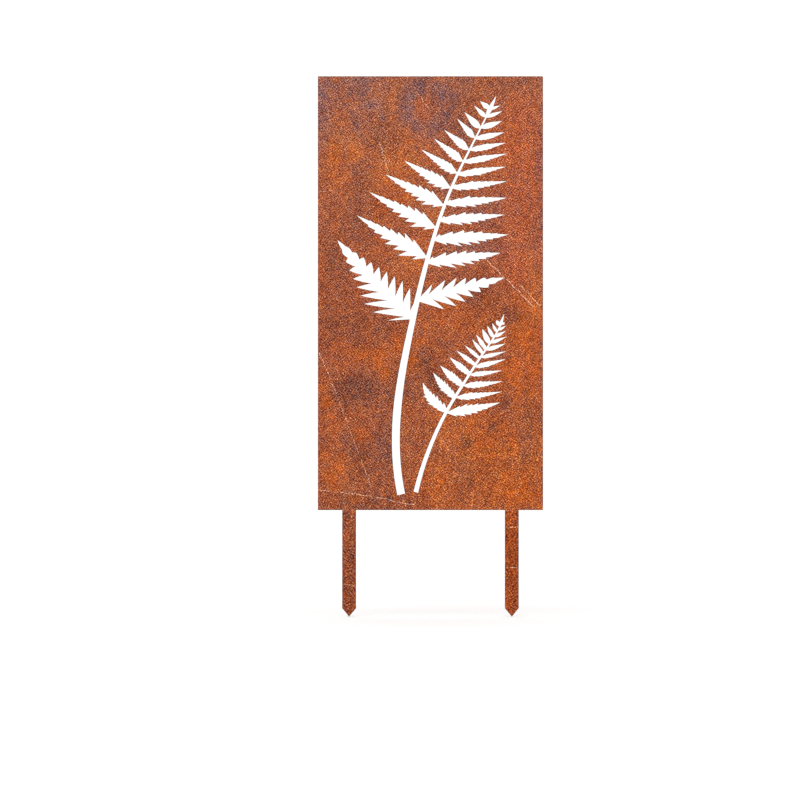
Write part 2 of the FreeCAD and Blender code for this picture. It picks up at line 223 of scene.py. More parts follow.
# Root welds
BEAD_STATIONS = 120
BEAD_POINTS = 25
BEAD_HEIGHT = 0.58
BEAD_HALF_WIDTH = 1.65
BEAD_PITCH = 1.05
BEAD_BOW = 0.8
BEAD_RIPPLE_SHARE = 0.28
BEAD_SWAY = 0.06
BEAD_SWAY_RATE = 2.1
BEAD_END = 1.3
BEAD_END_LIMIT = 0.995
BEAD_END_WIDTH_SHARE = 0.6
BEAD_TOE = 0.03
BEAD_TOE_FROM = 0.999
STEM_TUCK = 0.02
STEM_SINK = 0.12
STEM_CREASE = 0.015
STEM_CREASE_WIDTH = 0.2
# Weld heat tint on the crown, painted deeper in the ripple valleys as shade on the ripples
SCORCH_AND_SHADE_ON_CREST = 0.1
SCORCH_AND_SHADE_IN_VALLEY = 1.5

# Colours of the rust, as screen values out of 255: the grounds, and what is added to them
GROUND = (154, 79, 45)
STAKE_GROUND = (150, 72, 38)
WARM = (90, 40, -8)
PALE = (-8, 42, 80)
MOTTLE = (128, 66, 12)
TINGE = (-16, 10, 34)
STAIN_TINTS = {
    "bloom": (-24, 0, 24),
    "gloom": (-34, -16, -4),
    "flare": (22, 4, -16),
    "tan": (22, 13, -2),
    "blush": (15, 3, 1),
    "amber": (-3, -4, -6),
    "ash": (1, 6, 9),
}
GRAIN = (216, 236, 268)
FLECK = (78, 70, 34)
PIT = (-60, -46, -34)
SCORE = (86, 108, 112)
# weld heat tint, also used as painted shade in the weld beads' ripple valleys
SCORCH_AND_SHADE_TINT = (-58, -22, 4)
DRAG = (-30, -22, -16)
# painted shade along the cut edges, not a colour of the rust
PAINTED_EDGE_SHADE = (-126, -62, -30)
FULL = 255
SCREEN_CURVE = 2.2
DARKEST = 0.03

# Clouds in the rust: size of a lump, detail, roughness, seed
WARM_CLOUD = (13.0, 5.0, 0.66, 1.7)
PALE_CLOUD = (11.0, 5.0, 0.66, 5.2)
BREAKING_CLOUD = (7.0, 4.0, 0.62, 9.1)
MOTTLE_CLOUD = (3.2, 2.0, 0.6, 2.9)
TINGE_CLOUD = (3.6, 2.0, 0.6, 7.4)
WARM_SHARE = 0.75
PALE_SHARE = 0.55
STAIN_BREAKING = 2.0
DRAWN_DOWN = (1.0, 1.0, 0.45)
SIDE_SHIFT = (137.0, 29.0, 311.0)

# Grains of the rust
SHEET_GRAIN = 0.64
STAKE_GRAIN = 0.82
FINE_GRAIN = 0.40
COARSE_GRAIN = 0.62
GRAIN_REACH_SHARE = 1.16
GRAIN_STRENGTH = 0.28
FINE_STRENGTH = 0.1
LOOSENING = 0.7
LOOSENING_RATE = 2.4
LOOSENING_DETAIL = 3.0
SCORCH_HIDES_SHARE = 0.6
FLECK_RANGE = (0.96, 0.99)
FLECK_MORE = 0.06
PIT_RANGE = (0.95, 0.985)

# Scratches, cut walls, bump and gloss of the rust
SCORE_BASE = 0.55
SCORE_GRAIN = 0.9
SCORE_RANGE = (0.2, 0.75)
WALL_RANGE = (1.2, 1.8)
DRAG_RATE = 2.2
DRAG_GAIN = 2.0
DRAG_LESS = 0.4
BUMP_GRAIN = 0.5
BUMP_CLOUD = 0.8
BUMP_PIT = 0.4
BUMP_DRAG = 1.5
BUMP_STRENGTH = 0.3
BUMP_METRES = 0.00012
ROUGHNESS = 0.88
ROUGHNESS_VARIES = 0.2
SPECULAR = 0.12

# Floor, light and camera, in metres unless a name says millimetres
FLOOR_RADIUS_MM = 6000.0
FLOOR_SIDES = 64
ROOM_STRENGTH = 1.06
KEY_WATTS = 5.0
KEY_SIZE = 1.6
KEY_PLACE = (-1.3, -1.9, 1.9)
KEY_AIM = (0, 0, 0.12)
LENS_MM = 200.0
SENSOR_MM = 36.0
PICTURE_SIDE = 800
PICTURE_POINT_MM = 0.6662
PICTURE_MIDDLE_X_MM = -20.29
PICTURE_MIDDLE_Z_MM = 73.31
SIGHT_END = 100


# Outlines read from the solids
def box_in_mm(node):
    """The low and the high corner of a solid's box."""
    return [np.array(corner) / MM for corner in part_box(node)]


def front_outlines(node):
    """The closed outlines of a solid's front face, with the metal on the left of the walk.
    A copy of the mesh is merged by place. A side that only one front triangle has is a step of an
    outline, and each outline is the chain of steps that leads back to its first point."""
    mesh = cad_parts[node].data
    places = np.empty(len(mesh.vertices) * 3, np.float32)
    mesh.vertices.foreach_get("co", places)
    corners = np.empty(len(mesh.loops), np.int32)
    mesh.loops.foreach_get("vertex_index", corners)
    rounded = np.round(places.reshape(-1, 3).astype(float) / MM, SAME_PLACE_DIGITS)
    merged, which = np.unique(rounded, axis=0, return_inverse=True)
    triangles = which.ravel()[corners].reshape(-1, 3)
    level = merged[:, 1][triangles]
    front = triangles[(level < merged[:, 1].min() + SHORTEST_SIDE).all(axis=1)]
    steps = np.concatenate([front[:, [0, 1]], front[:, [1, 2]], front[:, [2, 0]]])
    forth = steps[:, 0] * len(merged) + steps[:, 1]
    back = steps[:, 1] * len(merged) + steps[:, 0]
    after = dict(steps[~np.isin(forth, back)].tolist())
    outlines = []
    while after:
        first, point = after.popitem()
        walk = [first]
        while point != first:
            walk.append(point)
            point = after.pop(point)
        outlines.append(merged[walk][:, [0, 2]])
    return outlines


def stepped(outline):
    """The outline without its shortest sides, and with each long side cut into equal steps:
    start of the side plus a share of it."""
    length = np.hypot(*(np.roll(outline, -1, axis=0) - outline).T)
    outline = outline[length > SHORTEST_SIDE]
    side = np.roll(outline, -1, axis=0) - outline
    parts = np.ceil(np.hypot(*side.T) / EDGE_STEP).astype(int)
    which = np.repeat(np.arange(len(outline)), parts)
    number = np.arange(parts.sum()) - np.repeat(np.cumsum(parts) - parts, parts)
    return outline[which] + side[which] * (number / parts[which])[:, None]


def walks(loops):
    """The point numbers of each outline, turned so that all walk the same way: the signed area of
    an outline, half the sum of the cross products of its steps, tells which way it runs."""
    starts = np.cumsum([0] + [len(loop) for loop in loops])
    turned = []
    for loop, start in zip(loops, starts):
        x, z = loop.T
        twice_area = (x * np.roll(z, -1) - np.roll(x, -1) * z).sum()
        numbers = start + np.arange(len(loop))
        turned.append((numbers if twice_area > 0 else numbers[::-1]).tolist())
    return turned


def batches(count):
    """The numbers up to a count, in groups that keep tables of distances small."""
    return np.array_split(np.arange(count), max(1, count // BATCH))


def room_inwards(points, after, before):
    """How far each outline point may move: a share of the least distance between it, or either of
    its sides, and any point or side that doesn't touch it."""
    count = len(points)
    side = points[after] - points
    square = (side ** 2).sum(axis=1)
    of_point = np.full(count, np.inf)
    of_side = np.full(count, np.inf)
    for some in batches(count):
        away = points[some][:, None, :] - points[None, :, :]
        along = np.clip((away * side).sum(axis=2) / square, 0, 1)
        gap = np.hypot(*np.moveaxis(away - along[..., None] * side, 2, 0))
        gap[np.arange(len(some)), some] = np.inf
        gap[np.arange(len(some)), before[some]] = np.inf
        of_point[some] = gap.min(axis=1)
        of_side = np.minimum(of_side, gap.min(axis=0))
    least = np.minimum(of_point, np.minimum(of_side, of_side[before]))
    return ROOM_SHARE * least


# Patterns over the sheet
def rust_relief(places, seed):
    """Height of the rust scale over the sheet: a sum of sine waves in seeded directions, whose
    heights grow with a power of their lengths, scaled to a set mean height."""
    draw = np.random.default_rng(seed)
    turn = draw.uniform(0, 2 * np.pi, WAVES)
    length = np.geomspace(*WAVE_LENGTHS, WAVES)
    phase = draw.uniform(0, 2 * np.pi, WAVES)
    ways = np.stack([np.cos(turn), np.sin(turn)]) * (2 * np.pi / length)
    tall = length ** WAVE_GROWTH
    height = (np.sin(places @ ways + phase) * tall).sum(axis=1)
    return RELIEF_HEIGHT * height / np.sqrt((tall ** 2).sum() / 2)


def bell(square):
    """A bell curve of a squared distance: 1 at the middle, e to the minus half of the square."""
    return np.exp(-0.5 * square)


def stained(places, stains):
    """How strongly a stain covers each place: the largest of the stains' bell curves."""
    table = np.array(stains, float)
    across = (places[:, None, 0] - table[:, 0]) / table[:, 2]
    up = (places[:, None, 1] - table[:, 1]) / table[:, 3]
    return (table[:, 4] * bell(across ** 2 + up ** 2)).max(axis=1)


def ringed(places, ring):
    """A ring-shaped stain: a bell curve of the distance from a circle."""
    x, z, radius, wide, strength = ring
    off = np.hypot(places[:, 0] - x, places[:, 1] - z) - radius
    return strength * bell((off / wide) ** 2)


def elsewhere(stains, seed):
    """The same stains for the back of the sheet, moved to seeded places and kept at their sizes."""
    draw = np.random.default_rng(seed)
    table = np.array(stains, float)
    table[:, 0] = draw.uniform(*STAIN_SPREAD_X, len(table))
    table[:, 1] = draw.uniform(*STAIN_SPREAD_Z, len(table))
    return table


def stains_at(flat, behind):
    """How strongly each kind of stain covers each place: as listed in front, moved about behind."""
    covers = {}
    for turn, (kind, stains) in enumerate(STAINS.items()):
        moved = elsewhere(stains, STAIN_SPREAD_SEED + turn)
        covers[kind] = np.where(behind, stained(flat, moved), stained(flat, stains))
    covers["bloom"] = np.maximum(covers["bloom"], ringed(flat, BLOOM_RING) * ~behind)
    return covers


def scorched(flat, roots):
    """Weld heat: a bell curve of the distance from the line of the nearest root gap."""
    off = []
    for x0, x1, z0, z1 in roots:
        beyond = np.clip(np.abs(flat[:, 0] - (x0 + x1) / 2) - (x1 - x0) / 2, 0, None)
        off.append(np.hypot(beyond, flat[:, 1] - (z0 + z1) / 2))
    return bell((np.min(off, axis=0) / HEAT_REACH) ** 2)


def scratch_points(low, high):
    """Points of the scratches that cross a box: the middle of each line, swayed by two sines, and a
    rail on each side. Gives their places and how deep each is scored: a seeded share of the
    scratch's strength in the middle, 0 on the rails."""
    places = [np.empty((0, 2))]
    scored = [np.empty(0)]
    for number, (strength, line) in enumerate(SCRATCHES):
        line = np.array(line, float)
        run = np.concatenate([[0], np.cumsum(np.hypot(*np.diff(line, axis=0).T))])
        at = np.linspace(0, run[-1], int(run[-1] / SCRATCH_STEP) + 2)
        middle = np.stack([np.interp(at, run, line[:, k]) for k in (0, 1)], axis=1)
        sway_x = np.sin(at * SCRATCH_SWAY_RATE_X + number)
        sway_z = np.cos(at * SCRATCH_SWAY_RATE_Z + number)
        middle += SCRATCH_SWAY * np.stack([sway_x, sway_z], axis=1)
        way = np.gradient(middle, axis=0)
        beside = np.stack([-way[:, 1], way[:, 0]], axis=1) / np.hypot(*way.T)[:, None]
        draw = np.random.default_rng(SCRATCH_SEED + number)
        shares = draw.uniform(SCRATCH_FAINTEST, 1.0, len(at))
        for shift, score in ((-SCRATCH_HALF_WIDTH, 0), (0, 1), (SCRATCH_HALF_WIDTH, 0)):
            places.append(middle + shift * beside)
            scored.append(score * strength * shares)
    places = np.concatenate(places)
    scored = np.concatenate(scored)
    inside = ((places > low) & (places < high)).all(axis=1)
    return places[inside], scored[inside]


def is_clear(places, others, gap):
    """Which of the places lie further than the gap from every one of the others."""
    clear = np.ones(len(places), bool)
    if not len(others):
        return clear
    for some in batches(len(places)):
        square = ((places[some][:, None, :] - others[None, :, :]) ** 2).sum(axis=2)
        clear[some] = square.min(axis=1) > gap ** 2
    return clear


# Meshes
def mesh_of(name, places, faces, layer=None, points=None, sides=None, sharp=None):
    """Puts arrays into a mesh object at the origin: places in mm, groups of equal-sized faces,
    the map's corner places, the numbers that each point and each face carries, and the angle in
    degrees from which an edge is sharp."""
    mesh = bpy.data.meshes.new(name)
    corners = np.concatenate([group.ravel() for group in faces])
    sizes = np.concatenate([np.full(len(group), group.shape[1]) for group in faces])
    mesh.vertices.add(len(places))
    mesh.vertices.foreach_set("co", (places * MM).astype(np.float32).ravel())
    mesh.loops.add(len(corners))
    mesh.loops.foreach_set("vertex_index", corners.astype(np.int32))
    mesh.polygons.add(len(sizes))
    mesh.polygons.foreach_set("loop_start", (np.cumsum(sizes) - sizes).astype(np.int32))
    mesh.update(calc_edges=True)
    for domain, numbers in (("POINT", points or {}), ("FACE", sides or {})):
        for key, values in numbers.items():
            held = mesh.attributes.new(key, "FLOAT", domain)
            held.data.foreach_set("value", np.asarray(values, np.float32))
    if layer is not None:
        uv = mesh.uv_layers.new(name="OFBake")
        uv.uv.foreach_set("vector", layer.astype(np.float32).ravel())
    mesh.shade_smooth()
    if sharp:
        mesh.set_sharp_from_angle(angle=np.radians(sharp))
    piece = bpy.data.objects.new(name, mesh)
    bpy.context.scene.collection.objects.link(piece)
    return piece


Rim = namedtuple("Rim", "loops line after length run inwards mitre stretch width rooted")


def rim_of(node, roots):
    """What the rim of a solid needs at each point of its outlines: the number of the next point, the
    length of the side to it and the way walked so far; the sum of the inward normals of its two
    sides, that sum as a unit (the mitre) and how much longer the mitre is on a bend; the rim's
    width there, and whether a root gap lies there."""
    loops = [stepped(outline) for outline in front_outlines(node)]
    counts = np.array([len(loop) for loop in loops])
    start = np.repeat(np.cumsum(counts) - counts, counts)
    count = np.repeat(counts, counts)
    number = np.arange(counts.sum()) - start
    after = start + (number + 1) % count
    before = start + (number - 1) % count
    line = np.concatenate(loops)
    way = line[after] - line
    length = np.hypot(*way.T)
    run = np.cumsum(length) - length
    normal = np.stack([-way[:, 1], way[:, 0]], axis=1) / length[:, None]
    inwards = normal + normal[before]
    mitre = inwards / np.maximum(np.hypot(*inwards.T), TINY)[:, None]
    stretch = np.minimum(1 / np.maximum((mitre * normal).sum(axis=1), TINY), LONGEST_MITRE)
    width = np.minimum(RIM_WIDTH, room_inwards(line, after, before))
    rooted = np.zeros(len(line), bool)
    for x0, x1, z0, z1 in roots:
        rooted |= ((line > (x0, z0)) & (line < (x1, z1))).all(axis=1)
    width[rooted] = np.minimum(width[rooted], TIGHT_RIM)
    return Rim(loops, line, after, length, run, inwards, mitre, stretch, width, rooted)


def rim_rows(rim, half_thickness):
    """The rim's rows of points from the front round the cut to the back: the outline, set in along
    the mitre by each share of the profile, at the face's level less the profile's drop plus the
    rust's relief."""
    rounding = ROUND_SHARE * rim.width
    rows = []
    for face, seed, profile in ((-1, FRONT_SEED, RIM_PROFILE), (1, BACK_SEED, RIM_PROFILE[::-1])):
        for share, drop, _ in profile:
            flat = rim.line + rim.mitre * (share * rim.width * rim.stretch)[:, None]
            level = half_thickness - drop * rounding + rust_relief(flat, seed)
            rows.append(np.stack([flat[:, 0], face * level, flat[:, 1]], axis=1))
    return rows


def points_inside(rim, fade, low, high):
    """Points of a skin within its fade lines: those of the scratches, then a staggered grid, each
    point moved by a seeded jitter. All keep clear of the edges, and the grid of the scratches. Gives
    their places and how deep each is scored."""
    scored, score = scratch_points(low, high)
    clear = is_clear(scored, rim.line, CLEAR_OF_EDGE)
    scored = scored[clear]
    row_step = GRID_STEP * np.sqrt(0.75)
    x, z = np.meshgrid(np.arange(low[0], high[0], GRID_STEP), np.arange(low[1], high[1], row_step))
    x = x + (np.arange(len(x)) % 2)[:, None] * GRID_STEP / 2
    grid = np.stack([x.ravel(), z.ravel()], axis=1)
    grid += np.random.default_rng(GRID_SEED).uniform(-GRID_JITTER, GRID_JITTER, grid.shape)
    grid = grid[((grid > low) & (grid < high)).all(axis=1)]
    for others, gap in ((rim.line, CLEAR_OF_EDGE), (fade, CLEAR_OF_EDGE), (scored, CLEAR_OF_SCRATCH)):
        grid = grid[is_clear(grid, others, gap)]
    return np.concatenate([scored, grid]), np.concatenate([score[clear], np.zeros(len(grid))])


def skin_over(rim, fade, inner):
    """Triangles that join the fade lines to the inner points, and which inner points they use: a
    Delaunay net held to the fade lines, less the triangles in openings, which lie within two
    outlines where those in the metal lie within one."""
    flat = np.concatenate([fade, inner])
    net = delaunay_2d_cdt(flat.tolist(), [], walks(rim.loops), INSIDE_ONLY, TINY)
    triangles = np.array(net[2])
    origin = np.array([numbers[0] for numbers in net[3]])
    in_metal = np.array([len(outlines) == 1 for outlines in net[5]])
    skin = origin[triangles][in_metal]
    used = np.zeros(len(flat), bool)
    used[: len(fade)] = True
    used[skin] = True
    return (np.cumsum(used) - 1)[skin], used[len(fade):]


def flat_map(rim, planar, quads, front_skin, back_skin, size):
    """The piece laid out flat: front and back side by side as they are, the cut edge beyond them in
    upright columns, each side of it at the way walked so far, all scaled to fit a unit square."""
    wide, tall = size + MAP_GAP
    to_back = np.array([wide, 0])
    column = np.floor(rim.run / tall)
    foot = rim.run - column * tall
    head = foot + rim.length
    across = np.stack([MAP_STEPS[:-1], MAP_STEPS[1:], MAP_STEPS[1:], MAP_STEPS[:-1]], axis=1)
    u = (2 * wide + column * MAP_COLUMN)[None, :, None] + across[:, None, :]
    v = np.broadcast_to(np.stack([foot, foot, head, head], axis=1), u.shape)
    edge = np.stack([u, v], axis=3)
    as_it_is = planar[quads].reshape(edge.shape)
    edge[0] = as_it_is[0]
    edge[-1] = as_it_is[-1] + to_back
    parts = (edge, planar[front_skin], planar[back_skin] + to_back)
    whole = max(2 * wide + MAP_COLUMN * (column.max() + 1), tall) + MAP_GAP
    return np.concatenate([part.reshape(-1, 2) for part in parts]) / whole


def rusted_plate(name, node, roots):
    """A piece of rusted sheet on a solid's outline. The rim's profile is carried along each outline:
    fade line, face line, two steps of rounding, cut wall, and the same on the back. Front and back
    skins join the fade lines to a staggered grid of points and to the scratches, and stand up by
    the rust's relief."""
    low, high = box_in_mm(node)
    low_flat = low[[0, 2]]
    high_flat = high[[0, 2]]
    rim = rim_of(node, roots)
    rows = rim_rows(rim, high[1])
    fade = rows[0][:, [0, 2]]
    inner, score = points_inside(rim, fade, low_flat, high_flat)
    skin, used = skin_over(rim, fade, inner)
    inner = inner[used]
    score = score[used]
    fronts = high[1] + rust_relief(inner, FRONT_SEED) - SCRATCH_DEPTH * score
    backs = high[1] + rust_relief(inner, BACK_SEED)
    rows.append(np.stack([inner[:, 0], -fronts, inner[:, 1]], axis=1))
    rows.append(np.stack([inner[:, 0], backs, inner[:, 1]], axis=1))
    places = np.concatenate(rows)
    # faces: strips between the rim's rows, then the two skins
    count = len(rim.line)
    number = np.arange(count)
    base = np.arange(RIM_ROWS - 1)[:, None] * count
    corners = (base + number, base + count + number, base + count + rim.after, base + rim.after)
    quads = np.stack(corners, axis=2).reshape(-1, 4)
    on_rim = skin < count
    past_rim = skin - count + RIM_ROWS * count
    front_skin = np.where(on_rim, skin, past_rim)
    back_skin = np.where(on_rim, skin + (RIM_ROWS - 1) * count, past_rim + len(inner))[:, ::-1]
    # numbers that faces and points carry
    strip_sides = [FRONT_SIDE] * (HALF_ROWS - 1) + [WALL_SIDE] + [BACK_SIDE] * (HALF_ROWS - 1)
    side_counts = [count] * (RIM_ROWS - 1) + [len(skin)] * 2
    sides = np.repeat(strip_sides + [FRONT_SIDE, BACK_SIDE], side_counts)
    rows_behind = [False] * HALF_ROWS + [True] * HALF_ROWS + [False, True]
    behind = np.repeat(rows_behind, [len(row) for row in rows])
    flat = places[:, [0, 2]]
    points = stains_at(flat, behind)
    points["scorch_and_shade"] = behind * scorched(flat, roots)
    # painted edge shade: strongest on edges facing down and right, as if lit from the upper left; none
    # at root gaps
    turned_from_light = np.clip(rim.inwards @ EDGE_SHADE_WAY, 0, 1)
    edge_shade = np.where(rim.rooted, 0, EDGE_SHADE_LEAST + (1 - EDGE_SHADE_LEAST) * turned_from_light)
    edge_shades = [shaded * edge_shade for _, _, shaded in RIM_PROFILE]
    nothing = np.zeros(len(inner))
    points["rim"] = np.concatenate([*edge_shades, *edge_shades[::-1], nothing, nothing])
    points["score"] = np.concatenate([np.zeros(RIM_ROWS * count), score, nothing])
    points["run"] = np.concatenate([np.tile(rim.run, RIM_ROWS), nothing, nothing])
    layer = flat_map(rim, flat - low_flat, quads, front_skin, back_skin, high_flat - low_flat)
    faces = [quads, front_skin, back_skin]
    return mesh_of(name, places, faces, layer, points, {"side": sides}, PLATE_SHARP_DEGREES)


def root_weld(name, stake):
    """A weld that fills a stake's root gap flush in front and stands up as a rippled bead behind.
    Its section is a T: a half-ellipse crown behind, a stem through the gap. The section is carried
    along the gap; the crown is rippled by crescents, parabolas between valleys, and rounded off at
    both ends. Its weld heat tint is painted deeper in the valleys, as shade on the ripples."""
    stake_low, stake_high = box_in_mm(stake)
    panel_low, panel_high = box_in_mm("fern_panel")
    top = panel_low[2]
    bottom = stake_high[2]
    middle = (top + bottom) / 2
    centre = (stake_low[0] + stake_high[0]) / 2
    half = (stake_high[0] - stake_low[0]) / 2
    # the crown
    x = np.linspace(-half, half, BEAD_STATIONS)
    past = np.clip((np.abs(x) - (half - BEAD_END)) / BEAD_END, 0, BEAD_END_LIMIT)
    ends = np.sqrt(1 - past ** 2)[:, None]
    across = np.sin(np.linspace(-np.pi / 2, np.pi / 2, BEAD_POINTS))
    phase = (x[:, None] + BEAD_BOW * across ** 2) / BEAD_PITCH
    valley = (2 * (phase - np.floor(phase)) - 1) ** 2
    scallop = 1 - BEAD_RIPPLE_SHARE * valley
    sway = BEAD_SWAY * np.sin(x * BEAD_SWAY_RATE)[:, None]
    crown_y = panel_high[1] + BEAD_HEIGHT * ends * np.sqrt(1 - across ** 2) * scallop
    crown_y = crown_y - BEAD_TOE * (np.abs(across) > BEAD_TOE_FROM)
    width_share = BEAD_END_WIDTH_SHARE + (1 - BEAD_END_WIDTH_SHARE) * ends
    crown_z = middle + sway + BEAD_HALF_WIDTH * width_share * across
    # the stem, from the panel's side round the front to the stake's side
    inner_y = panel_high[1] - STEM_SINK
    front_y = -panel_high[1]
    stem = np.array([
        (inner_y, top + STEM_TUCK),
        (front_y + STEM_CREASE, top + STEM_TUCK),
        (front_y, top - STEM_CREASE_WIDTH),
        (front_y, middle),
        (front_y, bottom + STEM_CREASE_WIDTH),
        (front_y + STEM_CREASE, bottom - STEM_TUCK),
        (inner_y, bottom - STEM_TUCK),
    ])
    stem_shape = (len(x), len(stem))
    section_y = np.concatenate([crown_y, np.broadcast_to(stem[:, 0], stem_shape)], axis=1)
    section_z = np.concatenate([crown_z, np.broadcast_to(stem[:, 1], stem_shape)], axis=1)
    section_x = np.broadcast_to(x[:, None] + centre, section_y.shape)
    places = np.stack([section_x, section_y, section_z], axis=2)
    front = places[:, BEAD_POINTS + 1: -1]
    relief = rust_relief(front[..., [0, 2]].reshape(-1, 2), FRONT_SEED)
    front[..., 1] -= relief.reshape(front.shape[:2])
    # faces and the numbers that they carry
    wide = section_y.shape[1]
    station = np.arange(len(x) - 1)[:, None] * wide
    step = np.arange(wide)
    turn = (step + 1) % wide
    corners = (station + step, station + turn, station + wide + turn, station + wide + step)
    quads = np.stack(corners, axis=2).reshape(-1, 4)
    caps = np.stack([step[::-1], (len(x) - 1) * wide + step])
    points = {key: np.zeros(len(x) * wide) for key in (*STAINS, "scorch_and_shade", "rim", "score", "run")}
    # painted shade: the heat tint deepens from crest to valley, so the ripples show as shaded valleys
    scorch_and_shade = SCORCH_AND_SHADE_ON_CREST + (SCORCH_AND_SHADE_IN_VALLEY - SCORCH_AND_SHADE_ON_CREST) * valley
    points["scorch_and_shade"] = np.concatenate([scorch_and_shade, np.zeros(stem_shape)], axis=1).ravel()
    quad_sides = np.where(section_y[:-1].ravel() > 0, BACK_SIDE, FRONT_SIDE)
    sides = np.concatenate([quad_sides, [WALL_SIDE, WALL_SIDE]])
    faces = [quads, caps]
    return mesh_of(name, places.reshape(-1, 3), faces, None, points, {"side": sides}, WELD_SHARP_DEGREES)


# Finishes
def _operator(operation, turned=False):
    """A Math node on two values, with the pair turned round for a reflected operator."""
    def work(self, other):
        pair = (other, self) if turned else (self, other)
        return self.finish.node("ShaderNodeMath", {"operation": operation}, dict(enumerate(pair)))
    return work


class Shade:
    """One output in a finish; operators on it add the Math nodes that work the sum out."""

    def __init__(self, finish, socket):
        self.finish = finish
        self.socket = socket

    __add__ = __radd__ = _operator("ADD")
    __mul__ = __rmul__ = _operator("MULTIPLY")
    __sub__ = _operator("SUBTRACT")
    __rsub__ = _operator("SUBTRACT", True)


class Finish:
    """A material that is put together from nodes, one call each."""

    def __init__(self, name):
        self.material = bpy.data.materials.new(name)
        self.material.use_nodes = True
        self.tree = self.material.node_tree
        self.tree.nodes.clear()

    def node(self, kind, settings=None, sockets=None, output=0):
        """Adds a node: its settings first, then its sockets' values or links. Gives one output."""
        made = self.tree.nodes.new(kind)
        for key, value in (settings or {}).items():
            setattr(made, key, value)
        for key, value in (sockets or {}).items():
            if isinstance(value, Shade):
                self.tree.links.new(value.socket, made.inputs[key])
            else:
                made.inputs[key].default_value = value
        return Shade(self, made.outputs[output]) if made.outputs else None

    def carried(self, name):
        """A number that the piece's mesh carries."""
        return self.node("ShaderNodeAttribute", {"attribute_name": name}, output="Fac")

    def vectors(self, operation, *sockets):
        """A Vector Math node on two or three vectors."""
        return self.node("ShaderNodeVectorMath", {"operation": operation}, dict(enumerate(sockets)))

    def noise(self, place, size, detail, rough, seed):
        """Cloudy noise round 0, about half each way, with lumps of the given size in mm."""
        sockets = {"Vector": place, "W": seed, "Scale": 1 / size, "Detail": detail, "Roughness": rough}
        return self.node("ShaderNodeTexNoise", {"noise_dimensions": "4D"}, sockets) - 0.5

    def grains(self, place, size):
        """Three even random numbers for each grain of the given size in mm."""
        cells = self.node("ShaderNodeTexVoronoi", None, {"Vector": place, "Scale": 1 / size}, "Color")
        parts = ("Red", "Green", "Blue")
        return [self.node("ShaderNodeSeparateColor", None, {0: cells}, part) for part in parts]

    def speckle(self, place, size, step):
        """Grains without lumps among them: a grain's number, less the mean of those a step away on
        four sides."""
        ways = ((step, 0.0, 0.0), (-step, 0.0, 0.0), (0.0, 0.0, step), (0.0, 0.0, -step))
        around = 0.0
        for way in ways:
            around = self.grains(self.vectors("ADD", place, way), size)[0] + around
        return self.grains(place, size)[0] - around * (1 / len(ways))

    def ease(self, value, low, high):
        """0 below the low value, 1 above the high one, and a smooth step between."""
        sockets = {0: value, 1: low, 2: high}
        return self.node("ShaderNodeMapRange", {"interpolation_type": "SMOOTHSTEP"}, sockets)

    def tinted(self, colour, tint, share):
        """A screen colour with a share of a tint, out of 255, added to it."""
        return self.vectors("MULTIPLY_ADD", share, tuple(np.array(tint) / FULL), colour)

    def shown(self, colour):
        """The linear colour that a shader takes for a screen colour: a power of it."""
        held = self.vectors("MAXIMUM", colour, (DARKEST,) * 3)
        return self.node("ShaderNodeGamma", None, {"Color": held, "Gamma": SCREEN_CURVE})


